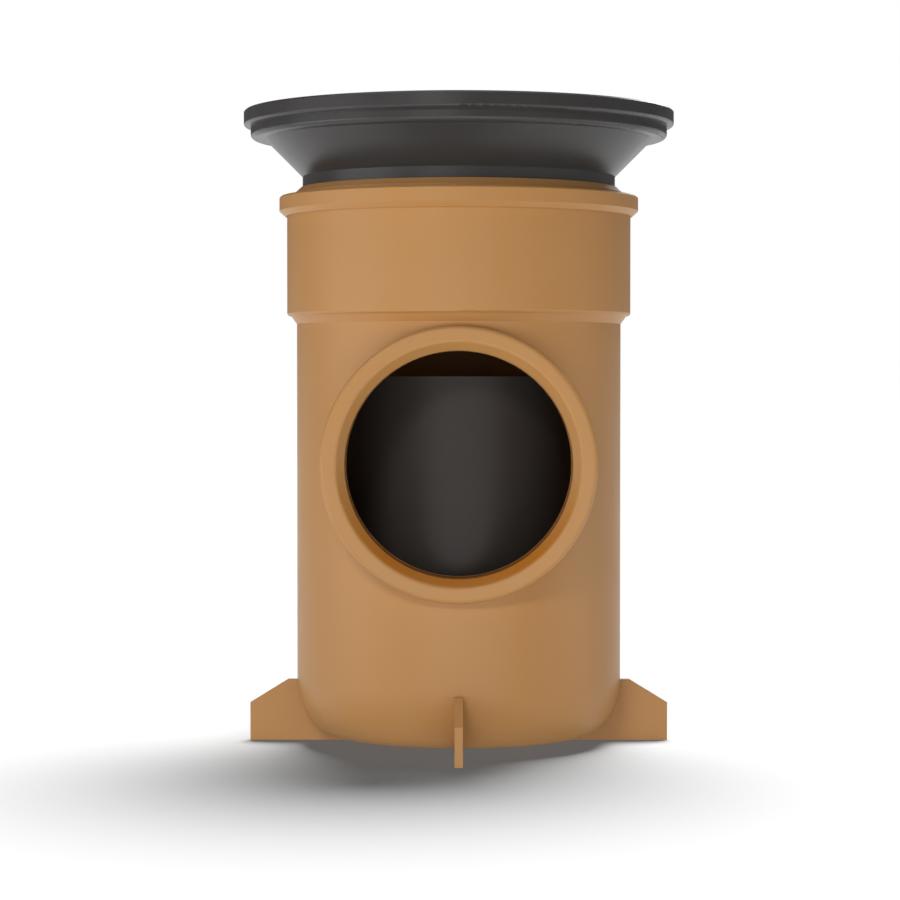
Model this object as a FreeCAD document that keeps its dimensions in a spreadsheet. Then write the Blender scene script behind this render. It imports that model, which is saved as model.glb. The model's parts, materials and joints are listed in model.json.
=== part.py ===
# Back inlet bottle gully: a terracotta trap body on four fins, a black hopper with a grate on top,
# and a black hood inside that dips under the water and makes the trap.
# Millimetres, +Z up. The origin is on the ground under the bottle's axis. The inlet faces -Y, the outlet +Y.

import FreeCAD, Part
import math
import os
import re
import Sketcher

SIZES = {
    # Hopper's spigot, a 160 mm drain size: the bottle and its collar are made around it
    "spigot_radius": 80.0,
    "spigot_seat_gap": 0.3,
    # Bottle: heights are above the ground that the fins stand on
    "seat_ledge": 1.0,
    "body_wall": 4.0,
    "weld_gap": 0.1,
    "base_underside": 3.6,
    "base_corner": 21.0,
    "base_corner_height": 28.0,
    "base_heel": 16.0,
    # Fins: a cross of four ribs under and around the base
    "fin_thickness": 4.0,
    "fin_length": 24.3,
    "fin_outer_height": 19.2,
    "fin_shoulder": 4.8,
    "fin_height": 31.2,
    # Collar: the wide socket at the bottle's top, over a small cone
    "collar_clear": 6.5,
    "collar_height": 58.0,
    "collar_step": 2.9,
    "collar_step_height": 4.1,
    "collar_round": 1.6,
    "socket_gap": 4.0,
    "pilot_depth": 4.0,
    "pilot_clearance": 0.4,
    "snap_ridge": 0.7,
    "snap_ridge_width": 1.2,
    "snap_ridge_drop": 4.0,
    # Ring seal in the collar's mouth, and the cap that snaps over it
    "seal_pocket_wall": 2.6,
    "seal_pocket_depth": 13.9,
    "seal_band": 2.8,
    "seal_lip_rise": 5.0,
    "seal_lip_height": 2.5,
    "seal_lip_clearance": 0.06,
    "seal_slack": 0.05,
    "seal_headroom": 0.3,
    "cap_clearance": 0.15,
    "cap_skirt_wall": 3.75,
    "cap_skirt_depth": 7.1,
    "cap_foot_width": 0.8,
    "cap_foot_rise": 2.7,
    "cap_chamfer": 0.8,
    "cap_thickness": 3.0,
    "cap_lip_wall": 3.4,
    "cap_lip_edge": 0.4,
    "cap_lip_root": 1.7,
    "cap_lip_height": 4.5,
    "cap_mouth_clearance": 0.7,
    # Hopper: neck, 45 degree funnel and a rim of two tiers
    "hopper_wall": 3.5,
    "neck_rise": 5.7,
    "rim_radius": 110.0,
    "rim_overhang": 3.5,
    "rim_underside": 7.4,
    "rim_wall": 7.0,
    "rim_lower_height": 6.4,
    "rim_height": 7.9,
    "rim_chamfer": 0.8,
    "rim_round": 1.5,
    "rim_lower_round": 2.4,
    # Grate: a slotted disc that rests on the ledge inside the rim
    "grate_clearance": 0.3,
    "grate_sink": 0.5,
    "grate_thickness": 6.0,
    "grate_foot_width": 3.6,
    "grate_border": 9.7,
    "grate_bridge": 8.0,
    "grate_hub": 24.0,
    "grate_slot_width": 8.0,
    "grate_outer_slot": 33.0,
    "grate_outer_slots": 24,
    "grate_inner_slots": 12,
    # Inlet: a socket for a 110 mm pipe through the front of the bottle
    "inlet_drop": 17.0,
    "inlet_proud": 6.0,
    "inlet_bore_radius": 55.5,
    "inlet_flare": 4.3,
    "inlet_lead_in": 5.0,
    "inlet_seal_width": 9.5,
    "inlet_seal_depth": 6.0,
    "inlet_seal_band": 2.6,
    "inlet_seal_lip_height": 2.5,
    "inlet_sleeve_wall": 3.5,
    "inlet_flange": 2.4,
    "inlet_face_round": 2.2,
    "inlet_mouth_round": 2.0,
    "inlet_depth": 29.0,
    # Outlet: a spigot of a 110 mm pipe's size at the rear, with a shoulder that stops the pipe's socket
    "outlet_radius": 55.0,
    "outlet_wall": 4.0,
    "outlet_length": 67.0,
    "outlet_chamfer_length": 8.0,
    "outlet_chamfer_depth": 2.2,
    "outlet_shoulder": 4.0,
    "outlet_shoulder_length": 6.0,
    # Trap hood: U-shaped in plan, open below and at the rear
    "sump_depth": 18.4,
    "water_seal": 50.0,
    "hood_half_width": 58.0,
    "hood_wall": 3.0,
    "hood_bow_centre": 10.0,
    "hood_throat_clearance": 7.0,
    "hood_rest_gap": 0.3,
    "grip_centre": 22.0,
    "grip_length": 44.0,
    "grip_width": 26.0,
    "grip_depth": 14.0,
    "grip_wall": 2.5,
    "grip_bar_width": 8.0,
    "grip_bar_thickness": 4.0,
    # Guides on the bottle's wall that the hood slides in, and the ledge that carries it
    "guide_rib": 3.0,
    "guide_clearance": 0.3,
    "guide_overlap": 8.0,
    "ledge_gap": 1.7,
    "ledge_width": 14.0,
    "ledge_thickness": 4.0,
}

# Radii that several pieces share, as expressions of the sizes above
CHAMBER_RADIUS = "(spigot_radius - seat_ledge)"
BODY_RADIUS = f"({CHAMBER_RADIUS} + body_wall)"
WALL_MIDDLE = f"({CHAMBER_RADIUS} + body_wall / 2)"
PILOT_RADIUS = "(spigot_radius + pilot_clearance)"
SOCKET_RADIUS = "(spigot_radius + socket_gap)"
COLLAR_RADIUS = f"({SOCKET_RADIUS} + body_wall)"
STEP_RADIUS = f"({BODY_RADIUS} + collar_step)"
SEAL_POCKET_RADIUS = f"({COLLAR_RADIUS} - seal_pocket_wall)"
THROAT_RADIUS = "(spigot_radius - hopper_wall)"
RIM_LOWER_RADIUS = "(rim_radius - rim_overhang)"
RIM_INNER_RADIUS = "(rim_radius - rim_wall)"
INLET_SEAL_RADIUS = "(inlet_bore_radius + inlet_seal_depth)"
SLEEVE_RADIUS = f"({INLET_SEAL_RADIUS} + inlet_sleeve_wall)"
INLET_FACE_RADIUS = f"({SLEEVE_RADIUS} + inlet_flange)"
OUTLET_BORE = "(outlet_radius - outlet_wall)"
HOOD_BACK_RADIUS = f"({THROAT_RADIUS} - hood_throat_clearance)"

# Heights, from the floor of the sump up: the water seal sets the outlet, and the inlet sets the collar
BASE_TOP = "(base_underside + base_corner_height)"
CHAMBER_FLOOR = "(base_underside + body_wall)"
HOOD_BOTTOM = f"({CHAMBER_FLOOR} + sump_depth)"
OUTLET_HEIGHT = f"({HOOD_BOTTOM} + water_seal + {OUTLET_BORE})"
LEDGE_FOOT = f"({OUTLET_HEIGHT} + {OUTLET_BORE} + ledge_gap)"
LEDGE_TOP = f"({LEDGE_FOOT} + ledge_thickness)"
HOOD_CEILING = f"({LEDGE_TOP} + hood_rest_gap)"
HOOD_TOP = f"({HOOD_CEILING} + hood_wall)"
INLET_HEIGHT = f"({OUTLET_HEIGHT} + inlet_drop)"
COLLAR_BASE = f"({INLET_HEIGHT} + {INLET_FACE_RADIUS} + collar_clear)"
BARREL_TOP = f"({COLLAR_BASE} - collar_step_height)"
COLLAR_TOP = f"({COLLAR_BASE} + collar_height)"
SEAL_SEAT = f"({COLLAR_TOP} - seal_pocket_depth)"
SNAP_MIDDLE = f"({COLLAR_TOP} - snap_ridge_drop)"
CAP_TOP = f"({COLLAR_TOP} + cap_thickness)"
NECK_TOP = f"({CAP_TOP} + cap_lip_height + neck_rise)"
FUNNEL_RISE = f"({RIM_LOWER_RADIUS} - rim_underside - spigot_radius)"
RIM_BASE = f"({NECK_TOP} + {FUNNEL_RISE})"
RIM_STEP = f"({RIM_BASE} + rim_lower_height)"
RIM_TOP = f"({RIM_STEP} + rim_height)"
GRATE_LEDGE = f"({RIM_BASE} + hopper_wall)"

# Reaches from the bottle's axis, forward to the inlet's face and back to the outlet's end
INLET_REACH = f"({BODY_RADIUS} + inlet_proud)"
SLEEVE_END = f"({INLET_REACH} - inlet_depth)"
INLET_SEAL_BACK = f"({SLEEVE_END} + inlet_sleeve_wall)"
INLET_SEAL_FRONT = f"({INLET_SEAL_BACK} + inlet_seal_width)"
OUTLET_REACH = f"({BODY_RADIUS} + outlet_length)"

doc = FreeCAD.newDocument("bottle_gully")
sheet = doc.addObject("Spreadsheet::Sheet", "Sizes")
for row, (alias, size) in enumerate(SIZES.items(), start=1):
    sheet.set(f"A{row}", alias.replace("_", " "))
    sheet.set(f"B{row}", str(size))
    sheet.setAlias(f"B{row}", alias)
doc.recompute()


def bound(text):
    """The expression with every size in it pointing at its cell."""
    return re.sub(r"[a-z_]+", lambda word: f"Sizes.{word[0]}" if word[0] in SIZES else word[0], text)


def value(text):
    """What an expression of the sizes comes to, in millimetres."""
    return float(sheet.evalExpression(bound(text)))


def new_body(label):
    """An empty body whose label is the piece's name."""
    body = doc.addObject("PartDesign::Body", label)
    body.Label = label
    return body


def origin_feature(body, role):
    """One of the body's own origin planes or axes."""
    return next(feature for feature in body.Origin.OriginFeatures if feature.Role == role)


def new_sketch(body, name, role, shift_y="0", shift_z="0", turned=False):
    """An empty sketch on an origin plane, shifted within the plane and off it, and turned to look from behind."""
    sketch = body.newObject("Sketcher::SketchObject", name)
    sketch.AttachmentSupport = [(origin_feature(body, role), "")]
    sketch.MapMode = "FlatFace"
    half_turn = FreeCAD.Rotation(FreeCAD.Vector(0, 1, 0), 180 if turned else 0)
    sketch.AttachmentOffset = FreeCAD.Placement(FreeCAD.Vector(0, value(shift_y), value(shift_z)), half_turn)
    sketch.setExpression("AttachmentOffset.Base.y", bound(shift_y))
    sketch.setExpression("AttachmentOffset.Base.z", bound(shift_z))
    return sketch


def dimension(sketch, kind, references, text):
    """A driving dimension held to an expression of the sizes."""
    index = sketch.addConstraint(Sketcher.Constraint(kind, *references, value(text)))
    sketch.setExpression(f"Constraints[{index}]", bound(text))


def pin(sketch, curve, point, across, up):
    """Holds a point of a curve at distances from the sketch's two axes."""
    for kind, axis, text in (("DistanceX", -2, across), ("DistanceY", -1, up)):
        if text == "0":
            sketch.addConstraint(Sketcher.Constraint("PointOnObject", curve, point, axis))
        else:
            dimension(sketch, kind, (-1, 1, curve, point), text)


def outline(sketch, corners):
    """A closed run of lines through corners given as pairs of expressions."""
    first = len(sketch.Geometry)
    spots = [FreeCAD.Vector(value(across), value(up), 0) for across, up in corners]
    sketch.addGeometry([Part.LineSegment(a, b) for a, b in zip(spots, spots[1:] + spots[:1])])
    for index, (across, up) in enumerate(corners):
        before = first + (index - 1) % len(corners)
        sketch.addConstraint(Sketcher.Constraint("Coincident", before, 2, first + index, 1))
        pin(sketch, first + index, 1, across, up)


def dish_outline(sketch, corners, heel):
    """A closed run like outline's, whose second side is two arcs that turn from level to upright.

    The first arc has the heel's radius. The second is wider, and the drawing finds its radius: it meets the first
    without a corner and ends upright.
    """
    axis = FreeCAD.Vector(0, 0, 1)
    spots = [FreeCAD.Vector(value(across), value(up), 0) for across, up in corners]
    foot, head = spots[1], spots[2]
    across, up, tight = head.x - foot.x, head.y - foot.y, value(heel)
    wide = (across ** 2 + up ** 2 - 2 * up * tight) / (2 * (across - tight))
    heel_centre = FreeCAD.Vector(foot.x, foot.y + tight, 0)
    side_centre = FreeCAD.Vector(head.x - wide, head.y, 0)
    meeting = math.atan2(heel_centre.y - side_centre.y, heel_centre.x - side_centre.x)
    sides = [Part.LineSegment(a, b) for a, b in zip(spots, spots[1:] + spots[:1])]
    sides[1] = Part.ArcOfCircle(Part.Circle(heel_centre, axis, tight), -math.pi / 2, meeting)
    sides.insert(2, Part.ArcOfCircle(Part.Circle(side_centre, axis, wide), meeting, 0))
    sketch.addGeometry(sides)
    for index, (across, up) in enumerate(corners):
        side = index if index < 2 else index + 1
        sketch.addConstraint(Sketcher.Constraint("Coincident", (side - 1) % len(sides), 2, side, 1))
        pin(sketch, side, 1, across, up)
    pin(sketch, 1, 3, corners[1][0], f"{corners[1][1]} + {heel}")
    sketch.addConstraint(Sketcher.Constraint("Horizontal", 2, 3, 2, 2))
    sketch.addConstraint(Sketcher.Constraint("Tangent", 1, 2, 2, 1))


def circle(sketch, radius):
    """A circle about the sketch's origin."""
    curve = sketch.addGeometry(Part.Circle(FreeCAD.Vector(0, 0, 0), FreeCAD.Vector(0, 0, 1), value(radius)))
    sketch.addConstraint(Sketcher.Constraint("Coincident", curve, 3, -1, 1))
    dimension(sketch, "Radius", (curve,), radius)


def centred_box(sketch, across, up, middle):
    """A rectangle of a width and a height about a point on the sketch's vertical axis."""
    left, right = -value(across) / 2, value(across) / 2
    low, high = value(middle) - value(up) / 2, value(middle) + value(up) / 2
    spots = [FreeCAD.Vector(x, y, 0) for x, y in ((left, low), (right, low), (right, high), (left, high))]
    first = len(sketch.Geometry)
    sketch.addGeometry([Part.LineSegment(a, b) for a, b in zip(spots, spots[1:] + spots[:1])])
    for side in range(4):
        sketch.addConstraint(Sketcher.Constraint("Coincident", first + side, 2, first + (side + 1) % 4, 1))
    sketch.addConstraint(Sketcher.Constraint("Symmetric", first, 1, first, 2, -2))
    sketch.addConstraint(Sketcher.Constraint("Vertical", first + 1))
    sketch.addConstraint(Sketcher.Constraint("Horizontal", first + 2))
    sketch.addConstraint(Sketcher.Constraint("Vertical", first + 3))
    dimension(sketch, "DistanceX", (first, 1, first, 2), across)
    dimension(sketch, "DistanceY", (first + 1, 1, first + 1, 2), up)
    dimension(sketch, "DistanceY", (-1, 1, first, 1), f"{middle} - {up} / 2")


def arc(centre_up, radius, start, end):
    """An arc about a point on the vertical axis, anticlockwise between two angles in radians."""
    axis = FreeCAD.Vector(0, 0, 1)
    return Part.ArcOfCircle(Part.Circle(FreeCAD.Vector(0, centre_up, 0), axis, radius), start, end)


def bowed_plan(sketch, half_width, bow_centre, back, round_back):
    """A plan with a half-round front, straight sides and a back that is an arc about the bottle or a line."""
    reach = value(half_width)
    middle = value(bow_centre)
    if round_back:
        corner = FreeCAD.Vector(reach, (value(back) ** 2 - reach ** 2) ** 0.5, 0)
        lean = corner.getAngle(FreeCAD.Vector(1, 0, 0))
        rear = arc(0, value(back), lean, math.pi - lean)
    else:
        corner = FreeCAD.Vector(reach, value(back), 0)
        rear = Part.LineSegment(corner, FreeCAD.Vector(-reach, corner.y, 0))
    far_corner = FreeCAD.Vector(-reach, corner.y, 0)
    right_side = Part.LineSegment(FreeCAD.Vector(reach, middle, 0), corner)
    left_side = Part.LineSegment(far_corner, FreeCAD.Vector(-reach, middle, 0))
    sketch.addGeometry([arc(middle, reach, math.pi, 2 * math.pi), right_side, rear, left_side])
    for curve in range(4):
        sketch.addConstraint(Sketcher.Constraint("Coincident", curve, 2, (curve + 1) % 4, 1))
    sketch.addConstraint(Sketcher.Constraint("Vertical", 1))
    sketch.addConstraint(Sketcher.Constraint("Vertical", 3))
    sketch.addConstraint(Sketcher.Constraint("Horizontal", 0, 1, 0, 3))
    sketch.addConstraint(Sketcher.Constraint("Horizontal", 0, 2, 0, 3))
    pin(sketch, 0, 3, "0", bow_centre)
    dimension(sketch, "Radius", (0,), half_width)
    if round_back:
        sketch.addConstraint(Sketcher.Constraint("Coincident", 2, 3, -1, 1))
        dimension(sketch, "Radius", (2,), back)
    else:
        sketch.addConstraint(Sketcher.Constraint("Horizontal", 2))
        dimension(sketch, "DistanceY", (-1, 1, 2, 1), back)


def ledge_plan(sketch, inner, outer, half_width):
    """A strip between two arcs about the bottle's axis, with straight ends at equal distances to each side."""
    reach = value(half_width)
    ends = [FreeCAD.Vector(reach, (value(radius) ** 2 - reach ** 2) ** 0.5, 0) for radius in (inner, outer)]
    leans = [end.getAngle(FreeCAD.Vector(1, 0, 0)) for end in ends]
    inner_arc = arc(0, value(inner), leans[0], math.pi - leans[0])
    outer_arc = arc(0, value(outer), leans[1], math.pi - leans[1])
    right_end = Part.LineSegment(ends[0], ends[1])
    left_end = Part.LineSegment(outer_arc.EndPoint, inner_arc.EndPoint)
    sketch.addGeometry([inner_arc, right_end, outer_arc, left_end])
    for curve, point, other, other_point in ((0, 1, 1, 1), (1, 2, 2, 1), (2, 2, 3, 1), (3, 2, 0, 2)):
        sketch.addConstraint(Sketcher.Constraint("Coincident", curve, point, other, other_point))
    for curve, radius in ((0, inner), (2, outer)):
        sketch.addConstraint(Sketcher.Constraint("Coincident", curve, 3, -1, 1))
        dimension(sketch, "Radius", (curve,), radius)
    sketch.addConstraint(Sketcher.Constraint("Vertical", 1))
    sketch.addConstraint(Sketcher.Constraint("Vertical", 3))
    dimension(sketch, "DistanceX", (-1, 1, 1, 1), half_width)
    dimension(sketch, "DistanceX", (3, 1, -1, 1), half_width)


def check_cut(feature):
    """Stops the build where a cut removed nothing."""
    doc.recompute()
    if feature.Shape.Volume >= feature.BaseFeature.Shape.Volume - 1.0:
        raise RuntimeError(f"{feature.Name} cuts nothing")


def pad(body, name, sketch, length, reverse=False, both_ways=False):
    """A straight extrusion of a sketch."""
    feature = body.newObject("PartDesign::Pad", name)
    feature.Profile = sketch
    feature.SideType = "Symmetric" if both_ways else "One side"
    feature.Reversed = reverse
    feature.AllowMultiFace = True
    feature.Length = value(length)
    feature.setExpression("Length", bound(length))
    doc.recompute()
    return feature


def pocket(body, name, sketch, depth, reverse=False):
    """A straight cut of a sketch's shape."""
    feature = body.newObject("PartDesign::Pocket", name)
    feature.Profile = sketch
    feature.Reversed = reverse
    feature.AllowMultiFace = True
    feature.Length = value(depth)
    feature.setExpression("Length", bound(depth))
    check_cut(feature)
    return feature


def turned(body, name, sketch, axis):
    """A full turn of a profile about one of its sketch's axes."""
    feature = body.newObject("PartDesign::Revolution", name)
    feature.Profile = sketch
    feature.ReferenceAxis = (sketch, [axis])
    feature.Angle = 360
    doc.recompute()
    return feature


def turned_cut(body, name, sketch, axis):
    """A cut made by a full turn of a profile about one of its sketch's axes."""
    feature = body.newObject("PartDesign::Groove", name)
    feature.Profile = sketch
    feature.ReferenceAxis = (sketch, [axis])
    feature.Angle = 360
    check_cut(feature)
    return feature


def around(body, name, original, copies):
    """Copies of a feature evenly spaced about the bottle's axis."""
    feature = body.newObject("PartDesign::PolarPattern", name)
    feature.Originals = [original]
    feature.Axis = (origin_feature(body, "Z_Axis"), [""])
    feature.Angle = 360
    feature.Occurrences = int(value(copies))
    feature.setExpression("Occurrences", bound(copies))
    body.Tip = feature
    doc.recompute()
    return feature


def rounded(body, name, base, radius, rings):
    """A fillet on the circular edges given by their radius and centre."""
    edges = []
    for ring_radius, centre in rings:
        middle = FreeCAD.Vector(*(value(part) for part in centre))
        for number, edge in enumerate(base.Shape.Edges, start=1):
            curve = edge.Curve
            if not isinstance(curve, Part.Circle):
                continue
            if abs(curve.Radius - value(ring_radius)) < 1e-4 and curve.Center.distanceToPoint(middle) < 1e-4:
                edges.append(f"Edge{number}")
    if len(edges) < len(rings):
        raise RuntimeError(f"{name} misses an edge")
    feature = body.newObject("PartDesign::Fillet", name)
    feature.Base = (base, edges)
    feature.Radius = value(radius)
    feature.setExpression("Radius", bound(radius))
    doc.recompute()
    return feature


# The bottle's base: a dish with a rounded corner
gully_base = new_body("gully_base")
base_profile = new_sketch(gully_base, "base_profile", "XZ_Plane")
CORNER_START = f"({BODY_RADIUS} - base_corner)"
dish_outline(base_profile, [
    ("0", "base_underside"),
    (CORNER_START, "base_underside"),
    (BODY_RADIUS, BASE_TOP),
    ("0", BASE_TOP),
], "base_heel")
turned(gully_base, "base_blank", base_profile, "V_Axis")
dish_profile = new_sketch(gully_base, "dish_profile", "XZ_Plane")
dish_outline(dish_profile, [
    ("0", CHAMBER_FLOOR),
    (CORNER_START, CHAMBER_FLOOR),
    (CHAMBER_RADIUS, BASE_TOP),
    ("0", BASE_TOP),
], "(base_heel - body_wall)")
turned_cut(gully_base, "dish", dish_profile, "V_Axis")

# The fins: a cross of ribs that runs under the base and stands out around it
base_fins = new_body("base_fins")
fin_profile = new_sketch(base_fins, "fin_profile", "XZ_Plane")
outline(fin_profile, [
    ("0", "0"),
    (f"{BODY_RADIUS} + fin_length", "0"),
    (f"{BODY_RADIUS} + fin_length", "fin_outer_height"),
    (f"{BODY_RADIUS} + fin_shoulder", "fin_height"),
    ("0", "fin_height"),
])
fin = pad(base_fins, "fin", fin_profile, "fin_thickness", both_ways=True)
FIN_COUNT = "4"
around(base_fins, "fins", fin, FIN_COUNT)
seat_profile = new_sketch(base_fins, "seat_profile", "XZ_Plane")
dish_outline(seat_profile, [
    ("0", "base_underside"),
    (CORNER_START, "base_underside"),
    (BODY_RADIUS, BASE_TOP),
    (BODY_RADIUS, f"{BASE_TOP} + fin_height"),
    ("0", f"{BASE_TOP} + fin_height"),
], "base_heel")
turned_cut(base_fins, "base_seat", seat_profile, "V_Axis")

# The bottle's barrel: a tube with a hole for the inlet in front and one for the outlet behind
gully_barrel = new_body("gully_barrel")
barrel_profile = new_sketch(gully_barrel, "barrel_profile", "XZ_Plane")
outline(barrel_profile, [
    (CHAMBER_RADIUS, BASE_TOP),
    (BODY_RADIUS, BASE_TOP),
    (BODY_RADIUS, BARREL_TOP),
    (CHAMBER_RADIUS, BARREL_TOP),
])
turned(gully_barrel, "barrel_tube", barrel_profile, "V_Axis")
inlet_circle = new_sketch(gully_barrel, "inlet_circle", "XZ_Plane", shift_y=INLET_HEIGHT)
circle(inlet_circle, f"{SLEEVE_RADIUS} + weld_gap")
pocket(gully_barrel, "inlet_hole", inlet_circle, INLET_REACH, reverse=True)
outlet_circle = new_sketch(gully_barrel, "outlet_circle", "XZ_Plane", shift_y=OUTLET_HEIGHT)
circle(outlet_circle, OUTLET_BORE)
pocket(gully_barrel, "outlet_hole", outlet_circle, OUTLET_REACH)

# Guides on the barrel's wall: two ribs to each side of the outlet hold the hood, and a ledge over it carries it
guide_plan = new_sketch(gully_barrel, "guide_plan", "XY_Plane", shift_z=BASE_TOP)
HOOD_EDGE = f"sqrt({HOOD_BACK_RADIUS} ^ 2 - hood_half_width ^ 2)"
GUIDE_FRONT = f"({HOOD_EDGE} - guide_overlap)"
INNER_RIB_FAR = "(hood_half_width - hood_wall - guide_clearance)"
INNER_RIB_NEAR = f"({INNER_RIB_FAR} - guide_rib)"
OUTER_RIB_NEAR = "(hood_half_width + guide_clearance)"
OUTER_RIB_FAR = f"({OUTER_RIB_NEAR} + guide_rib)"
for near, far in ((INNER_RIB_NEAR, INNER_RIB_FAR), (OUTER_RIB_NEAR, OUTER_RIB_FAR)):
    outline(guide_plan, [
        (near, GUIDE_FRONT),
        (far, GUIDE_FRONT),
        (far, f"sqrt({WALL_MIDDLE} ^ 2 - {far} ^ 2)"),
        (near, f"sqrt({WALL_MIDDLE} ^ 2 - {near} ^ 2)"),
    ])
guide_pair = pad(gully_barrel, "guide_pair", guide_plan, f"{LEDGE_TOP} - {BASE_TOP}")
guides = gully_barrel.newObject("PartDesign::Mirrored", "guides")
guides.Originals = [guide_pair]
guides.MirrorPlane = (origin_feature(gully_barrel, "YZ_Plane"), [""])
gully_barrel.Tip = guides
doc.recompute()
ledge_strip = new_sketch(gully_barrel, "ledge_strip", "XY_Plane", shift_z=LEDGE_FOOT)
ledge_plan(ledge_strip, f"{CHAMBER_RADIUS} - ledge_width", WALL_MIDDLE, f"{INNER_RIB_NEAR} + guide_rib / 2")
pad(gully_barrel, "hood_ledge", ledge_strip, "ledge_thickness")

# The collar: the cone over the barrel, the seat for the hopper's spigot, the socket and the seal's pocket
gully_collar = new_body("gully_collar")
collar_profile = new_sketch(gully_collar, "collar_profile", "XZ_Plane")
outline(collar_profile, [
    (CHAMBER_RADIUS, BARREL_TOP),
    (BODY_RADIUS, BARREL_TOP),
    (STEP_RADIUS, COLLAR_BASE),
    (COLLAR_RADIUS, COLLAR_BASE),
    (COLLAR_RADIUS, f"{SNAP_MIDDLE} - snap_ridge_width"),
    (f"{COLLAR_RADIUS} + snap_ridge", f"{SNAP_MIDDLE} - snap_ridge_width / 2"),
    (f"{COLLAR_RADIUS} + snap_ridge", f"{SNAP_MIDDLE} + snap_ridge_width / 2"),
    (COLLAR_RADIUS, f"{SNAP_MIDDLE} + snap_ridge_width"),
    (COLLAR_RADIUS, COLLAR_TOP),
    (SEAL_POCKET_RADIUS, COLLAR_TOP),
    (SEAL_POCKET_RADIUS, SEAL_SEAT),
    (SOCKET_RADIUS, SEAL_SEAT),
    (SOCKET_RADIUS, f"{COLLAR_BASE} + pilot_depth + socket_gap - pilot_clearance"),
    (PILOT_RADIUS, f"{COLLAR_BASE} + pilot_depth"),
    (PILOT_RADIUS, COLLAR_BASE),
    (CHAMBER_RADIUS, COLLAR_BASE),
])
collar_ring = turned(gully_collar, "collar_ring", collar_profile, "V_Axis")
rounded(gully_collar, "collar_edge", collar_ring, "collar_round", [(COLLAR_RADIUS, ("0", "0", COLLAR_BASE))])


def cut_saddle(body):
    """Cuts the barrel's round out of a fitting, so that the fitting lies on the barrel."""
    saddle_profile = new_sketch(body, f"{body.Name}_saddle_profile", "XZ_Plane")
    outline(saddle_profile, [
        ("0", BASE_TOP),
        (f"{BODY_RADIUS} + weld_gap", BASE_TOP),
        (f"{BODY_RADIUS} + weld_gap", BARREL_TOP),
        ("0", BARREL_TOP),
    ])
    turned_cut(body, f"{body.Name}_saddle", saddle_profile, "V_Axis")


# The inlet fitting: a face ring on the barrel and a sleeve through it, bored with a lead-in and a seal groove
inlet_fitting = new_body("inlet_fitting")
face_circle = new_sketch(inlet_fitting, "face_circle", "XZ_Plane", shift_y=INLET_HEIGHT)
circle(face_circle, INLET_FACE_RADIUS)
face_disc = pad(inlet_fitting, "face_disc", face_circle, INLET_REACH)
rounded(inlet_fitting, "face_edge", face_disc, "inlet_face_round",
        [(INLET_FACE_RADIUS, ("0", f"-{INLET_REACH}", INLET_HEIGHT))])
cut_saddle(inlet_fitting)
sleeve_profile = new_sketch(inlet_fitting, "sleeve_profile", "YZ_Plane", shift_y=INLET_HEIGHT, turned=True)
outline(sleeve_profile, [
    (SLEEVE_END, "inlet_bore_radius - inlet_sleeve_wall"),
    (f"{BODY_RADIUS} + inlet_proud / 2", "inlet_bore_radius - inlet_sleeve_wall"),
    (f"{BODY_RADIUS} + inlet_proud / 2", SLEEVE_RADIUS),
    (SLEEVE_END, SLEEVE_RADIUS),
])
turned(inlet_fitting, "inlet_sleeve", sleeve_profile, "H_Axis")
inlet_profile = new_sketch(inlet_fitting, "inlet_profile", "YZ_Plane", shift_y=INLET_HEIGHT, turned=True)
outline(inlet_profile, [
    (SLEEVE_END, "0"),
    (INLET_REACH, "0"),
    (INLET_REACH, "inlet_bore_radius + inlet_flare"),
    (f"{INLET_REACH} - inlet_lead_in", "inlet_bore_radius"),
    (INLET_SEAL_FRONT, "inlet_bore_radius"),
    (INLET_SEAL_FRONT, INLET_SEAL_RADIUS),
    (INLET_SEAL_BACK, INLET_SEAL_RADIUS),
    (INLET_SEAL_BACK, "inlet_bore_radius"),
    (SLEEVE_END, "inlet_bore_radius"),
])
inlet_bore = turned_cut(inlet_fitting, "inlet_bore", inlet_profile, "H_Axis")
rounded(inlet_fitting, "mouth_edge", inlet_bore, "inlet_mouth_round",
        [("inlet_bore_radius + inlet_flare", ("0", f"-{INLET_REACH}", INLET_HEIGHT))])

# The outlet fitting: a spigot with a chamfered end and a shoulder at its root
outlet_fitting = new_body("outlet_fitting")
outlet_profile = new_sketch(outlet_fitting, "outlet_profile", "YZ_Plane", shift_y=OUTLET_HEIGHT)
SHOULDER_REACH = f"({BODY_RADIUS} + outlet_shoulder_length)"
outline(outlet_profile, [
    ("0", OUTLET_BORE),
    (OUTLET_REACH, OUTLET_BORE),
    (OUTLET_REACH, "outlet_radius - outlet_chamfer_depth"),
    (f"{OUTLET_REACH} - outlet_chamfer_length", "outlet_radius"),
    (SHOULDER_REACH, "outlet_radius"),
    (SHOULDER_REACH, "outlet_radius + outlet_shoulder"),
    ("0", "outlet_radius + outlet_shoulder"),
])
turned(outlet_fitting, "outlet_tube", outlet_profile, "H_Axis")
cut_saddle(outlet_fitting)

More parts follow.
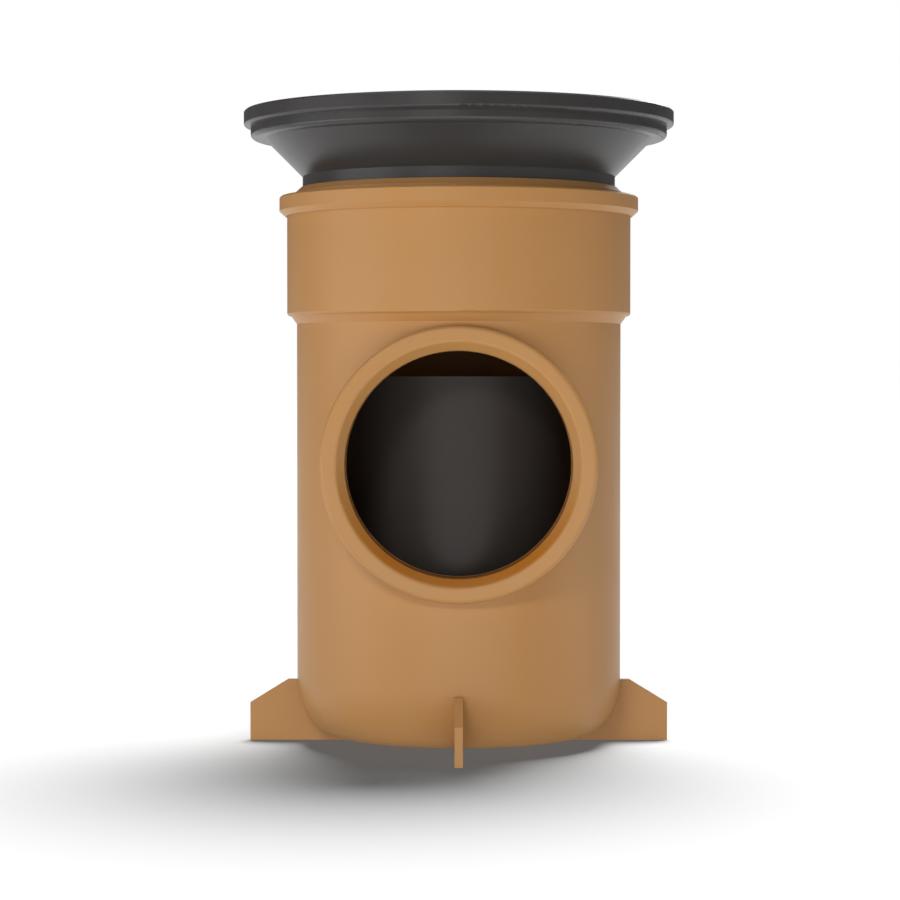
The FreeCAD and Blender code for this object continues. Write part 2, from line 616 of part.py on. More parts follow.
# The ring seal in the collar's mouth: a band in the pocket with a lip that bears on the hopper's spigot
top_ring_seal = new_body("top_ring_seal")
top_seal_profile = new_sketch(top_ring_seal, "top_seal_profile", "XZ_Plane")
TOP_SEAL_OUTER = f"({SEAL_POCKET_RADIUS} - seal_slack)"
TOP_SEAL_INNER = "(spigot_radius + seal_lip_clearance)"
TOP_SEAL_TOP = f"({COLLAR_TOP} - seal_headroom)"
outline(top_seal_profile, [
    (f"{TOP_SEAL_OUTER} - seal_band", SEAL_SEAT),
    (TOP_SEAL_OUTER, SEAL_SEAT),
    (TOP_SEAL_OUTER, TOP_SEAL_TOP),
    (f"{TOP_SEAL_OUTER} - seal_band", TOP_SEAL_TOP),
    (TOP_SEAL_INNER, f"{SEAL_SEAT} + seal_lip_rise + seal_lip_height"),
    (TOP_SEAL_INNER, f"{SEAL_SEAT} + seal_lip_rise"),
    (f"{TOP_SEAL_OUTER} - seal_band", f"{SEAL_SEAT} + seal_lip_rise + seal_lip_height / 2"),
])
turned(top_ring_seal, "top_seal_ring", top_seal_profile, "V_Axis")

# The cap that snaps over the collar's end and holds the seal in
top_seal_cap = new_body("top_seal_cap")
cap_profile = new_sketch(top_seal_cap, "cap_profile", "XZ_Plane")
CAP_BORE = f"({COLLAR_RADIUS} + cap_clearance)"
CAP_OUTER = f"({CAP_BORE} + cap_skirt_wall)"
CAP_FOOT = f"({COLLAR_TOP} - cap_skirt_depth)"
CAP_MOUTH = "(spigot_radius + cap_mouth_clearance)"
outline(cap_profile, [
    (CAP_BORE, CAP_FOOT),
    (f"{CAP_BORE} + cap_foot_width", CAP_FOOT),
    (CAP_OUTER, f"{CAP_FOOT} + cap_foot_rise"),
    (CAP_OUTER, f"{CAP_TOP} - cap_chamfer"),
    (f"{CAP_OUTER} - cap_chamfer", CAP_TOP),
    (f"{CAP_MOUTH} + cap_lip_wall", CAP_TOP),
    (f"{CAP_MOUTH} + cap_lip_wall", f"{CAP_TOP} + cap_lip_root"),
    (f"{CAP_MOUTH} + cap_lip_edge", f"{CAP_TOP} + cap_lip_height"),
    (CAP_MOUTH, f"{CAP_TOP} + cap_lip_height"),
    (CAP_MOUTH, COLLAR_TOP),
    (CAP_BORE, COLLAR_TOP),
    (CAP_BORE, f"{SNAP_MIDDLE} + snap_ridge_width + cap_clearance"),
    (f"{CAP_BORE} + snap_ridge", f"{SNAP_MIDDLE} + snap_ridge_width / 2 + cap_clearance"),
    (f"{CAP_BORE} + snap_ridge", f"{SNAP_MIDDLE} - snap_ridge_width / 2 - cap_clearance"),
    (CAP_BORE, f"{SNAP_MIDDLE} - snap_ridge_width - cap_clearance"),
])
turned(top_seal_cap, "cap_ring", cap_profile, "V_Axis")

# The seal in the inlet's groove, clear of the bore until a pipe spreads it
inlet_ring_seal = new_body("inlet_ring_seal")
inlet_seal_profile = new_sketch(
    inlet_ring_seal, "inlet_seal_profile", "YZ_Plane", shift_y=INLET_HEIGHT, turned=True)
INLET_SEAL_OUTER = f"({INLET_SEAL_RADIUS} - seal_slack)"
INLET_SEAL_INNER = "(inlet_bore_radius + seal_lip_clearance)"
INLET_SEAL_MIDDLE = f"({INLET_SEAL_FRONT} - inlet_seal_width / 2)"
outline(inlet_seal_profile, [
    (f"{INLET_SEAL_BACK} + seal_slack", f"{INLET_SEAL_OUTER} - inlet_seal_band"),
    (f"{INLET_SEAL_BACK} + seal_slack", INLET_SEAL_OUTER),
    (f"{INLET_SEAL_FRONT} - seal_slack", INLET_SEAL_OUTER),
    (f"{INLET_SEAL_FRONT} - seal_slack", f"{INLET_SEAL_OUTER} - inlet_seal_band"),
    (f"{INLET_SEAL_MIDDLE} + inlet_seal_lip_height / 2", INLET_SEAL_INNER),
    (f"{INLET_SEAL_MIDDLE} - inlet_seal_lip_height / 2", INLET_SEAL_INNER),
])
turned(inlet_ring_seal, "inlet_seal_ring", inlet_seal_profile, "H_Axis")

# The hopper: spigot, funnel and rim in one moulding, with a ledge inside the rim for the grate
hopper = new_body("hopper")
hopper_profile = new_sketch(hopper, "hopper_profile", "XZ_Plane")
SPIGOT_END = f"({COLLAR_BASE} + spigot_seat_gap)"
FUNNEL_SLANT = "(hopper_wall * sqrt(2))"
outline(hopper_profile, [
    (THROAT_RADIUS, SPIGOT_END),
    ("spigot_radius", SPIGOT_END),
    ("spigot_radius", NECK_TOP),
    (f"spigot_radius + {FUNNEL_RISE}", RIM_BASE),
    (RIM_LOWER_RADIUS, RIM_BASE),
    (RIM_LOWER_RADIUS, RIM_STEP),
    ("rim_radius", RIM_STEP),
    ("rim_radius", f"{RIM_TOP} - rim_chamfer"),
    ("rim_radius - rim_chamfer", RIM_TOP),
    (RIM_INNER_RADIUS, RIM_TOP),
    (RIM_INNER_RADIUS, GRATE_LEDGE),
    (f"spigot_radius + {FUNNEL_RISE} + hopper_wall - {FUNNEL_SLANT}", GRATE_LEDGE),
    (THROAT_RADIUS, f"{NECK_TOP} + {FUNNEL_SLANT} - hopper_wall"),
])
hopper_shell = turned(hopper, "hopper_shell", hopper_profile, "V_Axis")
rim_edge = rounded(hopper, "rim_edge", hopper_shell, "rim_round", [("rim_radius", ("0", "0", RIM_STEP))])
rounded(hopper, "rim_lower_edge", rim_edge, "rim_lower_round", [(RIM_LOWER_RADIUS, ("0", "0", RIM_BASE))])

# The grate: a disc with a foot ring under its edge and two rings of slots
hopper_grate = new_body("hopper_grate")
grate_profile = new_sketch(hopper_grate, "grate_profile", "XZ_Plane")
GRATE_RADIUS = f"({RIM_INNER_RADIUS} - grate_clearance)"
GRATE_TOP = f"({RIM_TOP} - grate_sink)"
GRATE_UNDERSIDE = f"({RIM_TOP} - grate_sink - grate_thickness)"
outline(grate_profile, [
    ("0", GRATE_UNDERSIDE),
    (f"{GRATE_RADIUS} - grate_foot_width", GRATE_UNDERSIDE),
    (f"{GRATE_RADIUS} - grate_foot_width", GRATE_LEDGE),
    (GRATE_RADIUS, GRATE_LEDGE),
    (GRATE_RADIUS, GRATE_TOP),
    ("0", GRATE_TOP),
])
turned(hopper_grate, "grate_disc", grate_profile, "V_Axis")
OUTER_SLOT_END = f"({GRATE_RADIUS} - grate_border)"
OUTER_SLOT_START = f"({OUTER_SLOT_END} - grate_outer_slot)"
INNER_SLOT_END = f"({OUTER_SLOT_START} - grate_bridge)"
for ring, start, end in (("outer", OUTER_SLOT_START, OUTER_SLOT_END), ("inner", "grate_hub", INNER_SLOT_END)):
    slot_plan = new_sketch(hopper_grate, f"{ring}_slot_plan", "XY_Plane", shift_z=GRATE_TOP)
    centred_box(slot_plan, "grate_slot_width", f"({end} - {start})", f"({end} + {start}) / 2")
    slot = pocket(hopper_grate, f"{ring}_slot", slot_plan, "grate_thickness")
    around(hopper_grate, f"{ring}_slots", slot, f"grate_{ring}_slots")

# The trap hood: a block of its plan, hollowed from below, with a pull sunk into its top
trap_hood = new_body("trap_hood")
hood_plan = new_sketch(trap_hood, "hood_plan", "XY_Plane", shift_z=HOOD_BOTTOM)
bowed_plan(hood_plan, "hood_half_width", "hood_bow_centre", HOOD_BACK_RADIUS, round_back=True)
pad(trap_hood, "hood_block", hood_plan, f"{HOOD_TOP} - {HOOD_BOTTOM}")
hollow_plan = new_sketch(trap_hood, "hollow_plan", "XY_Plane", shift_z=HOOD_BOTTOM)
bowed_plan(hollow_plan, "hood_half_width - hood_wall", "hood_bow_centre", BODY_RADIUS, round_back=False)
pocket(trap_hood, "hood_hollow", hollow_plan, f"{HOOD_CEILING} - {HOOD_BOTTOM}", reverse=True)
GRIP_FLOOR = f"({HOOD_TOP} - grip_depth - grip_wall)"
grip_cup_plan = new_sketch(trap_hood, "grip_cup_plan", "XY_Plane", shift_z=GRIP_FLOOR)
centred_box(grip_cup_plan, "(grip_length + 2 * grip_wall)", "(grip_width + 2 * grip_wall)", "grip_centre")
pad(trap_hood, "grip_cup", grip_cup_plan, f"{HOOD_TOP} - {GRIP_FLOOR}")
grip_plan = new_sketch(trap_hood, "grip_plan", "XY_Plane", shift_z=HOOD_TOP)
centred_box(grip_plan, "grip_length", "grip_width", "grip_centre")
pocket(trap_hood, "grip_recess", grip_plan, "grip_depth")
grip_bar_plan = new_sketch(trap_hood, "grip_bar_plan", "XY_Plane", shift_z=f"{HOOD_TOP} - grip_bar_thickness")
centred_box(grip_bar_plan, "(grip_length + grip_wall)", "grip_bar_width", "grip_centre")
pad(trap_hood, "grip_bar", grip_bar_plan, "grip_bar_thickness")

# Every object must have come out whole before any piece is written
doc.recompute()
for item in doc.Objects:
    if "Invalid" in item.State or "Error" in item.State:
        raise RuntimeError(f"{item.Name} failed: {item.State}")
pieces = [
    gully_base,
    base_fins,
    gully_barrel,
    gully_collar,
    inlet_fitting,
    outlet_fitting,
    top_ring_seal,
    top_seal_cap,
    inlet_ring_seal,
    hopper,
    hopper_grate,
    trap_hood,
]
os.makedirs("parts", exist_ok=True)
for piece in pieces:
    piece.Placement = FreeCAD.Placement()
    if piece.Shape.isNull() or not piece.Shape.isValid() or len(piece.Shape.Solids) != 1:
        raise RuntimeError(f"{piece.Label} is not one valid solid")
    piece.Shape.exportStep(f"parts/{piece.Label}.step")
    box = piece.Shape.optimalBoundingBox(False)
    size = f"{box.XLength:.1f} x {box.YLength:.1f} x {box.ZLength:.1f} mm"
    print(f"{piece.Label}: {size}, {piece.Shape.Volume / 1000:.1f} cm3")
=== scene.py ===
# Back inlet bottle gully: a terracotta drainage trap with a black hopper on top.
# Metres, +Z up, in the frame of the solids. The inlet faces -Y, towards the camera, and the outlet +Y.

import json
import math

import bpy
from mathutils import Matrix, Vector

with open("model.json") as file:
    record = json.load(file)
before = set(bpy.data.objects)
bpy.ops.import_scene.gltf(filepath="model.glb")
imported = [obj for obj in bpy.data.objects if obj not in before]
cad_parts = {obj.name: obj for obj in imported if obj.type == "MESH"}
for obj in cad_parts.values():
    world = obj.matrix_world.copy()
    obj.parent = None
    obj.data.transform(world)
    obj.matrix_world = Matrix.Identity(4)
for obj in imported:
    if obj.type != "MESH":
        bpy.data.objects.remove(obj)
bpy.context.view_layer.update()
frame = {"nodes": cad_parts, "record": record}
nodes = frame["nodes"]
bpy.ops.object.select_all(action="DESELECT")


# The base of the bottle: a shallow dish with a large rounded corner, the sump where grit settles.
# It is injection moulded from terracotta-coloured drain plastic, semi-gloss, with a faint moulded grain.
# The fins, the barrel, both fittings, the collar and the cap are of the same plastic.
TERRACOTTA = (0.470, 0.232, 0.074, 1)
TERRACOTTA_WARM = (0.485, 0.230, 0.066, 1)
TERRACOTTA_PALE = (0.470, 0.250, 0.092, 1)
TERRACOTTA_DUST = (0.560, 0.440, 0.320, 1)


def new_group(name, inputs, outputs):
    """A shader node group with named value inputs and outputs."""
    group = bpy.data.node_groups.new(name, "ShaderNodeTree")
    for label, default in inputs:
        socket = group.interface.new_socket(label, in_out="INPUT", socket_type="NodeSocketFloat")
        socket.default_value = default
    for label in outputs:
        group.interface.new_socket(label, in_out="OUTPUT", socket_type="NodeSocketFloat")
    entry = group.nodes.new("NodeGroupInput")
    leave = group.nodes.new("NodeGroupOutput")
    return group, entry, leave


def noise(tree, vector, scale, detail, roughness=0.5):
    """A noise texture on the given coordinates."""
    node = tree.nodes.new("ShaderNodeTexNoise")
    node.inputs["Scale"].default_value = scale
    node.inputs["Detail"].default_value = detail
    node.inputs["Roughness"].default_value = roughness
    tree.links.new(vector, node.inputs["Vector"])
    return node.outputs["Fac"]


def spread(tree, value, low, high, start=0.0, end=1.0):
    """Stretches a value from one range to another, held at both ends."""
    node = tree.nodes.new("ShaderNodeMapRange")
    node.inputs["From Min"].default_value = low
    node.inputs["From Max"].default_value = high
    node.inputs["To Min"].default_value = start
    node.inputs["To Max"].default_value = end
    tree.links.new(value, node.inputs["Value"])
    return node.outputs["Result"]


def feed(tree, socket, value):
    """Links another node's output to a socket, or sets a fixed number or colour on it."""
    if isinstance(value, bpy.types.NodeSocket):
        tree.links.new(value, socket)
    else:
        socket.default_value = value


def combine(tree, operation, first, second):
    """A math node on two values, each an output or a number."""
    node = tree.nodes.new("ShaderNodeMath")
    node.operation = operation
    feed(tree, node.inputs[0], first)
    feed(tree, node.inputs[1], second)
    return node.outputs["Value"]


# Moulded skin: broad clouds in the pigment, streaks up the draw of the mould, and the grain of its steel.
# Each scale is about the number of spots in a metre.
CLOUD_SCALE = 11.0
STREAK_SCALE = 90.0
STREAK_DRAW = (1.0, 1.0, 0.06)
STREAK_SHARE = 0.4
SMUDGE_SCALE = 38.0
SMUDGE_SHARE = 0.6
GRAIN_SCALE = 1900.0
PEBBLE_SCALE = 420.0
PEBBLE_SHARE = 0.8
NOISE_MIDDLE = (0.3, 0.7)
skin_group, skin_in, skin_out = new_group(
    "moulded_skin",
    inputs=[("Streak", 1.0), ("Grain", 1.0)],
    outputs=["Cloud", "Smudge", "Height"],
)
skin_place = skin_group.nodes.new("ShaderNodeTexCoord").outputs["Object"]
skin_draw = skin_group.nodes.new("ShaderNodeMapping")
skin_draw.inputs["Scale"].default_value = STREAK_DRAW
skin_group.links.new(skin_place, skin_draw.inputs["Vector"])
cloud = noise(skin_group, skin_place, CLOUD_SCALE, detail=3.0)
streak = noise(skin_group, skin_draw.outputs["Vector"], STREAK_SCALE, detail=4.0)
smudge = noise(skin_group, skin_place, SMUDGE_SCALE, detail=5.0, roughness=0.62)
grain = noise(skin_group, skin_place, GRAIN_SCALE, detail=2.0)
pebble = noise(skin_group, skin_place, PEBBLE_SCALE, detail=3.0)
streak_lines = combine(skin_group, "MULTIPLY", spread(skin_group, streak, *NOISE_MIDDLE), STREAK_SHARE)
streak_part = combine(skin_group, "MULTIPLY", streak_lines, skin_in.outputs["Streak"])
smudge_part = combine(skin_group, "MULTIPLY", spread(skin_group, smudge, *NOISE_MIDDLE), SMUDGE_SHARE)
grain_part = combine(skin_group, "MULTIPLY", grain, skin_in.outputs["Grain"])
pebble_part = combine(skin_group, "MULTIPLY", pebble, PEBBLE_SHARE)
skin_group.links.new(spread(skin_group, cloud, *NOISE_MIDDLE), skin_out.inputs["Cloud"])
skin_group.links.new(combine(skin_group, "ADD", smudge_part, streak_part), skin_out.inputs["Smudge"])
skin_group.links.new(combine(skin_group, "ADD", grain_part, pebble_part), skin_out.inputs["Height"])

# Settled dust: a thin veil on faces that look up, broken into patches
DUST_SCALE = 160.0
DUST_PATCHES = (0.35, 0.75)
DUST_THINNEST = 0.25
DUST_SLOPES = (0.35, 0.95)
dust_group, dust_in, dust_out = new_group("settled_dust", inputs=[("Amount", 1.0)], outputs=["Veil"])
dust_place = dust_group.nodes.new("ShaderNodeTexCoord").outputs["Object"]
dust_normal = dust_group.nodes.new("ShaderNodeNewGeometry").outputs["Normal"]
dust_facing = dust_group.nodes.new("ShaderNodeSeparateXYZ")
dust_group.links.new(dust_normal, dust_facing.inputs["Vector"])
dust_noise = noise(dust_group, dust_place, DUST_SCALE, detail=6.0, roughness=0.65)
dust_patch = spread(dust_group, dust_noise, *DUST_PATCHES, DUST_THINNEST, 1.0)
dust_upward = spread(dust_group, dust_facing.outputs["Z"], *DUST_SLOPES)
dust_veil = combine(dust_group, "MULTIPLY", dust_patch, dust_upward)
dust_amount = combine(dust_group, "MULTIPLY", dust_veil, dust_in.outputs["Amount"])
dust_group.links.new(dust_amount, dust_out.inputs["Veil"])


def place_group(tree, group, **values):
    """A node group placed in a material with its own input values."""
    node = tree.nodes.new("ShaderNodeGroup")
    node.node_tree = group
    for label, value in values.items():
        node.inputs[label].default_value = value
    return node


# A mix node's colour sockets share their names with its other sockets, so they go by number
MIX_FIRST = 6
MIX_SECOND = 7
MIX_RESULT = 2


def blend_colours(tree, factor, first, second):
    """A mix of two colours, each an output or a fixed colour."""
    node = tree.nodes.new("ShaderNodeMix")
    node.data_type = "RGBA"
    tree.links.new(factor, node.inputs["Factor"])
    feed(tree, node.inputs[MIX_FIRST], first)
    feed(tree, node.inputs[MIX_SECOND], second)
    return node.outputs[MIX_RESULT]


PALE_SHARE = 0.5
DUST_ROUGHNESS = 0.3
GRAIN_DEPTH = 0.0001


def moulded_plastic(name, main, warm, pale, gloss, shine, streak, grain, bump, dust, dust_colour):
    """A moulded plastic: clouded pigment, a roughness with smudges, a fine grain and a little dust."""
    material = bpy.data.materials.new(name)
    material.use_nodes = True
    tree = material.node_tree
    shader = tree.nodes["Principled BSDF"]
    shader.inputs["Specular IOR Level"].default_value = shine
    skin = place_group(tree, skin_group, Streak=streak, Grain=grain)
    veil = place_group(tree, dust_group, Amount=dust)
    clouded = blend_colours(tree, skin.outputs["Cloud"], main, warm)
    pale_share = spread(tree, skin.outputs["Smudge"], 0.0, 1.0, 0.0, PALE_SHARE)
    smudged = blend_colours(tree, pale_share, clouded, pale)
    dusted = blend_colours(tree, veil.outputs["Veil"], smudged, dust_colour)
    tree.links.new(dusted, shader.inputs["Base Color"])
    smooth = spread(tree, skin.outputs["Smudge"], 0.0, 1.0, *gloss)
    dulled = combine(tree, "MULTIPLY", veil.outputs["Veil"], DUST_ROUGHNESS)
    tree.links.new(combine(tree, "ADD", smooth, dulled), shader.inputs["Roughness"])
    relief = tree.nodes.new("ShaderNodeBump")
    relief.inputs["Strength"].default_value = bump
    relief.inputs["Distance"].default_value = GRAIN_DEPTH
    tree.links.new(skin.outputs["Height"], relief.inputs["Height"])
    tree.links.new(relief.outputs["Normal"], shader.inputs["Normal"])
    return material


def finish_node(name, material):
    """Gives a solid its material in place of the plain one it came with."""
    nodes[name].data.materials.clear()
    nodes[name].data.materials.append(material)


terracotta_plastic = moulded_plastic(
    "terracotta_plastic",
    main=TERRACOTTA,
    warm=TERRACOTTA_WARM,
    pale=TERRACOTTA_PALE,
    gloss=(0.38, 0.48),
    shine=0.35,
    streak=0.8,
    grain=1.0,
    bump=0.12,
    dust=0.10,
    dust_colour=TERRACOTTA_DUST,
)
finish_node("gully_base", terracotta_plastic)


# The fins: a cross of four thin ribs under the base that keeps the gully upright in its concrete bed.
# They are moulded with the base, of the same plastic, and their feet stand on the ground.
finish_node("base_fins", terracotta_plastic)


# The barrel: the bottle's tube, which holds the water. Ribs inside it guide the hood, and a ledge carries it.
# The same moulded plastic, on the real bottle in one piece with the base, the collar and both fittings.
finish_node("gully_barrel", terracotta_plastic)


# The inlet fitting: a flat face ring and a sleeve in the barrel's front, the socket of a 110 mm pipe.
# The same moulded plastic, with a lead-in at its mouth and a groove for its seal.
# The lower part of the bore is painted a deeper orange. This is a painted reflection of the warm light that
# bounces inside the bore.
PAINTED_BOUNCE_ORANGE = (0.430, 0.150, 0.014, 1)
# Heights from the bore's axis: the painted orange is full at the first and gone at the second
PAINTED_BOUNCE_RISE = (-0.045, 0.0)
# How far the painted orange reaches past the bore's radius, up the lead-in, and the width over which it then
# fades
PAINTED_BOUNCE_REACH = 0.0030
PAINTED_BOUNCE_FADE = 0.0015


def paint_bore_bounce(material, axis_height, radius):
    """Paints a deeper orange, standing for warm bounced light, on the lower part of a bore that runs along Y.
    """
    tree = material.node_tree
    base_colour = tree.nodes["Principled BSDF"].inputs["Base Color"]
    plastic_colour = base_colour.links[0].from_socket
    from_axis = tree.nodes.new("ShaderNodeMapping")
    from_axis.inputs["Location"].default_value = (0, 0, -axis_height)
    from_axis.inputs["Scale"].default_value = (1, 0, 1)
    tree.links.new(tree.nodes.new("ShaderNodeTexCoord").outputs["Object"], from_axis.inputs["Vector"])
    distance = tree.nodes.new("ShaderNodeVectorMath")
    distance.operation = "LENGTH"
    tree.links.new(from_axis.outputs["Vector"], distance.inputs[0])
    offset = tree.nodes.new("ShaderNodeSeparateXYZ")
    tree.links.new(from_axis.outputs["Vector"], offset.inputs["Vector"])
    inside = spread(tree, distance.outputs["Value"], radius, radius + PAINTED_BOUNCE_FADE, 1.0, 0.0)
    below = spread(tree, offset.outputs["Z"], *PAINTED_BOUNCE_RISE, 1.0, 0.0)
    # Where the bore gets its painted reflection of warm bounced light
    painted_bounce = combine(tree, "MULTIPLY", inside, below)
    tree.links.new(blend_colours(tree, painted_bounce, plastic_colour, PAINTED_BOUNCE_ORANGE), base_colour)


inlet_socket = next(mount for mount in frame["record"]["mounts"] if mount["name"] == "inlet_socket")
inlet_height = inlet_socket["pos_m"][2]
painted_bounce_radius = inlet_socket["dims"]["r_mm"] / 1000 + PAINTED_BOUNCE_REACH
# The inlet's own copy of the plastic, with painted bounced light in the lower part of its bore
inlet_plastic = terracotta_plastic.copy()
inlet_plastic.name = "inlet_plastic"
paint_bore_bounce(inlet_plastic, inlet_height, painted_bounce_radius)
finish_node("inlet_fitting", inlet_plastic)


# The outlet fitting: a 110 mm spigot on the barrel's rear, with a shoulder that stops the pipe's socket.
# The same moulded plastic, with a chamfered end that goes into the pipe.
finish_node("outlet_fitting", terracotta_plastic)


# The trap hood: a U-shaped cover that hangs in the bottle before the outlet and dips under the water.
# It is moulded from a smoother black plastic, slides in the barrel's ribs and lifts out by a grip in its top.
HOOD_BLACK = (0.040, 0.034, 0.031, 1)
HOOD_WARM = (0.044, 0.036, 0.032, 1)
HOOD_PALE = (0.052, 0.045, 0.041, 1)
HOOD_DUST = (0.160, 0.140, 0.120, 1)
hood_plastic = moulded_plastic(
    "hood_plastic",
    main=HOOD_BLACK,
    warm=HOOD_WARM,
    pale=HOOD_PALE,
    gloss=(0.34, 0.42),
    shine=0.15,
    streak=1.0,
    grain=0.6,
    bump=0.08,
    dust=0.12,
    dust_colour=HOOD_DUST,
)
finish_node("trap_hood", hood_plastic)


# The ring seals: one in the collar's mouth against the hopper's spigot, one in the inlet's groove.
# They are moulded from black rubber, matt, with a faint bloom, and sit loose in their grooves.
RUBBER_BLACK = (0.011, 0.011, 0.012, 1)
RUBBER_WARM = (0.014, 0.013, 0.013, 1)
RUBBER_BLOOM = (0.024, 0.023, 0.022, 1)
RUBBER_DUST = (0.140, 0.130, 0.120, 1)
seal_rubber = moulded_plastic(
    "seal_rubber",
    main=RUBBER_BLACK,
    warm=RUBBER_WARM,
    pale=RUBBER_BLOOM,
    gloss=(0.62, 0.80),
    shine=0.30,
    streak=0.0,
    grain=1.2,
    bump=0.30,
    dust=0.20,
    dust_colour=RUBBER_DUST,
)
finish_node("inlet_ring_seal", seal_rubber)
finish_node("top_ring_seal", seal_rubber)


# The collar: the wide socket at the bottle's top that takes the hopper's spigot.
# The same terracotta plastic as the barrel, which it meets in a short cone.
finish_node("gully_collar", terracotta_plastic)


# The seal cap: a ring that snaps over the collar's end and holds the seal in its pocket.
# It is moulded apart from the bottle, of the same terracotta plastic.
finish_node("top_seal_cap", terracotta_plastic)


# The hopper: a spigot, a 45 degree funnel and a rim of two tiers. It can be turned in the collar.
# It is moulded from black plastic with a satin skin.
HOPPER_BLACK = (0.031, 0.030, 0.030, 1)
HOPPER_WARM = (0.036, 0.033, 0.032, 1)
HOPPER_PALE = (0.044, 0.041, 0.039, 1)
HOPPER_DUST = (0.180, 0.160, 0.140, 1)
hopper_plastic = moulded_plastic(
    "hopper_plastic",
    main=HOPPER_BLACK,
    warm=HOPPER_WARM,
    pale=HOPPER_PALE,
    gloss=(0.29, 0.41),
    shine=0.39,
    streak=0.4,
    grain=1.0,
    bump=0.16,
    dust=0.16,
    dust_colour=HOPPER_DUST,
)
finish_node("hopper", hopper_plastic)


# The grate: a disc with two rings of slots that rests on the ledge inside the hopper's rim.
# It is moulded from the same black plastic, and lies loose, so that it can be lifted out.
finish_node("hopper_grate", hopper_plastic)


# The floor and the light: a white studio floor that lends the part a soft glow, in a dim white surround.
# Low panels in front and at both sides, high ones in front and behind, and a lamp overhead light the part.
# Another soft lamp, high behind the right shoulder, lights the floor alone and casts a broad shadow forward.
FLOOR_SIZE = 60.0
FLOOR_MIDDLE = (0, 0, 0)
FLOOR_ROUGHNESS = 0.9
# To the eye: dark paint under a strong lamp, hardly tinted by the part, and a little light in the shadow
FLOOR_PAINT = (0.125, 0.125, 0.125, 1)
FLOOR_FILL = 0.10
# To the part: a darker paint, which sends little of that lamp back up, and an even glow
FLOOR_BOUNCE = (0.040, 0.040, 0.040, 1)
FLOOR_GLOW = 0.54
# The surround is full white to the eye; this is its strength to the part, and its share of white in a gloss
SURROUND = 0.046
SURROUND_GLOSS = 0.06
WHITE = (1, 1, 1, 1)


def seen_rays(tree, gloss):
    """One for rays that show a surface to the eye, some share of it in a gloss, and nought for the rest."""
    rays = tree.nodes.new("ShaderNodeLightPath")
    direct = combine(tree, "MAXIMUM", rays.outputs["Is Camera Ray"], rays.outputs["Is Transmission Ray"])
    return combine(tree, "MAXIMUM", direct, combine(tree, "MULTIPLY", rays.outputs["Is Glossy Ray"], gloss))


bpy.ops.mesh.primitive_plane_add(size=FLOOR_SIZE, location=FLOOR_MIDDLE)
floor = bpy.context.object
floor.name = "studio_floor"
floor_paint = bpy.data.materials.new("studio_white")
floor_paint.use_nodes = True
floor_tree = floor_paint.node_tree
floor_shader = floor_tree.nodes["Principled BSDF"]
floor_seen = seen_rays(floor_tree, gloss=1.0)
floor_colour = blend_colours(floor_tree, floor_seen, FLOOR_BOUNCE, FLOOR_PAINT)
floor_light = spread(floor_tree, floor_seen, 0.0, 1.0, FLOOR_GLOW, FLOOR_FILL)
floor_tree.links.new(floor_colour, floor_shader.inputs["Base Color"])
floor_tree.links.new(floor_light, floor_shader.inputs["Emission Strength"])
floor_shader.inputs["Emission Color"].default_value = WHITE
floor_shader.inputs["Roughness"].default_value = FLOOR_ROUGHNESS
floor_shader.inputs["Specular IOR Level"].default_value = 0.0
floor.data.materials.append(floor_paint)

world = bpy.data.worlds.new("studio_surround")
bpy.context.scene.world = world
world.use_nodes = True
world_tree = world.node_tree
world_shader = world_tree.nodes["Background"]
world_seen = seen_rays(world_tree, SURROUND_GLOSS)
world_level = spread(world_tree, world_seen, 0.0, 1.0, SURROUND, 1.0)
world_shader.inputs["Color"].default_value = WHITE
world_tree.links.new(world_level, world_shader.inputs["Strength"])

lit_part = bpy.data.collections.new("lit_part")
for node in nodes.values():
    lit_part.objects.link(node)
lit_floor = bpy.data.collections.new("lit_floor")
lit_floor.objects.link(floor)


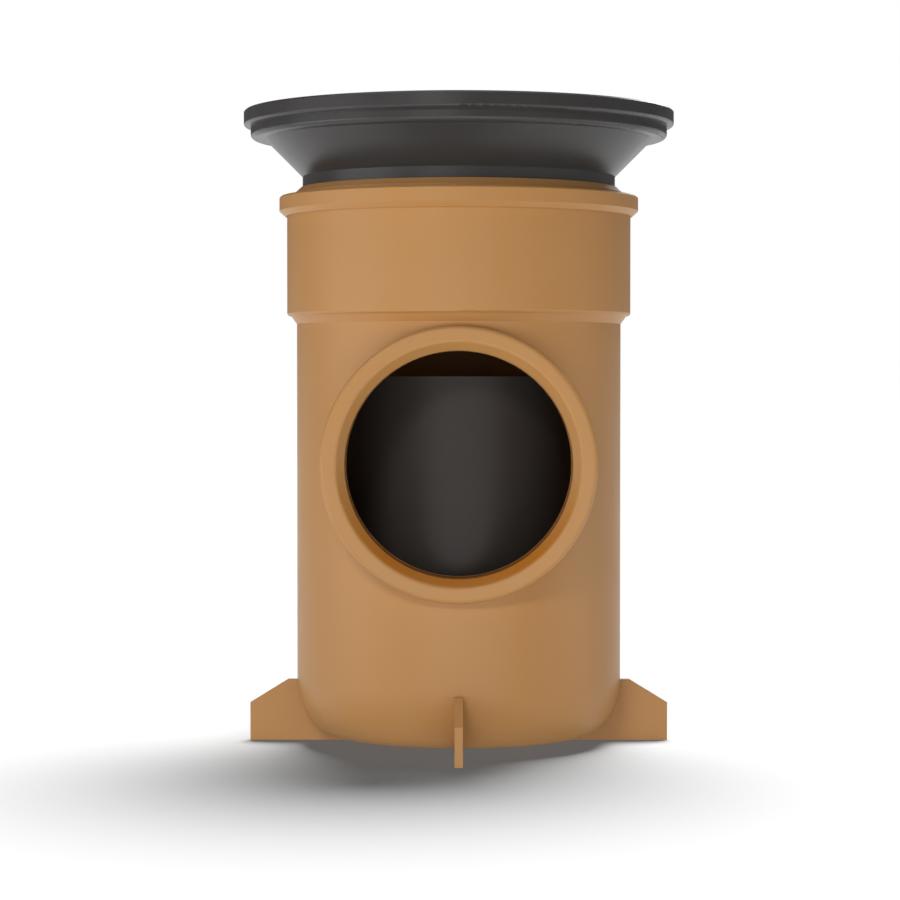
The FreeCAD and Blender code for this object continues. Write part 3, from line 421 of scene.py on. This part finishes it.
def aimed_lamp(name, lamp, place, aim, lights):
    """A lamp in the scene that looks at a point, lights one collection alone and isn't seen itself."""
    holder = bpy.data.objects.new(name, lamp)
    bpy.context.scene.collection.objects.link(holder)
    holder.location = place
    holder.rotation_euler = (Vector(aim) - Vector(place)).to_track_quat("-Z", "Y").to_euler()
    holder.light_linking.receiver_collection = lights
    holder.visible_camera = False


PART_MIDDLE = (0, 0, 0.17)


def panel_lamp(name, width, height, power, place):
    """A panel of light that looks at the part."""
    panel = bpy.data.lights.new(name, "AREA")
    panel.shape = "RECTANGLE"
    panel.size = width
    panel.size_y = height
    panel.energy = power
    aimed_lamp(name, panel, place, PART_MIDDLE, lit_part)


def high_lamp(name, strength, softness, place, lights):
    """A soft lamp far above the part. Its softness is how many degrees of the sky it fills."""
    lamp = bpy.data.lights.new(name, "SUN")
    lamp.energy = strength
    lamp.angle = math.radians(softness)
    aimed_lamp(name, lamp, place, FLOOR_MIDDLE, lights)


panel_lamp("front_panel", width=0.70, height=0.14, power=1.0, place=(0.02, -0.60, 0.05))
panel_lamp("left_panel", width=1.20, height=0.40, power=4.5, place=(-1.22, -0.44, 0.15))
panel_lamp("right_panel", width=0.50, height=0.10, power=0.5, place=(0.85, -0.10, 0.06))
panel_lamp("high_panel", width=0.50, height=0.25, power=8.0, place=(-0.45, -1.50, 0.95))
panel_lamp("rear_panel", width=1.00, height=0.50, power=12.6, place=(0.25, 1.05, 0.95))
high_lamp("top_lamp", strength=0.92, softness=60, place=(0.0, 0.30, 2.98), lights=lit_part)
high_lamp("floor_lamp", strength=26.4, softness=36, place=(0.36, 1.36, 2.65), lights=lit_floor)


# The camera: at the eye of the photograph, 1.43 m before the bottle's axis and a little under the collar.
# Its long lens is tipped down and turned to the left by a hair.
EYE = (0.0, -1.430, 0.1837)
LENS_MM = 111.2
SENSOR_MM = 36.0
LEVEL = math.radians(90)
TIPPED_DOWN = math.radians(1.38)
TURNED_LEFT = math.radians(0.18)
camera_data = bpy.data.cameras.new("front_camera")
camera_data.sensor_width = SENSOR_MM
camera_data.lens = LENS_MM
camera = bpy.data.objects.new("front_camera", camera_data)
bpy.context.scene.collection.objects.link(camera)
camera.location = EYE
camera.rotation_euler = (LEVEL - TIPPED_DOWN, 0, TURNED_LEFT)
bpy.context.scene.camera = camera

bpy.context.scene.view_settings.view_transform = "Standard"
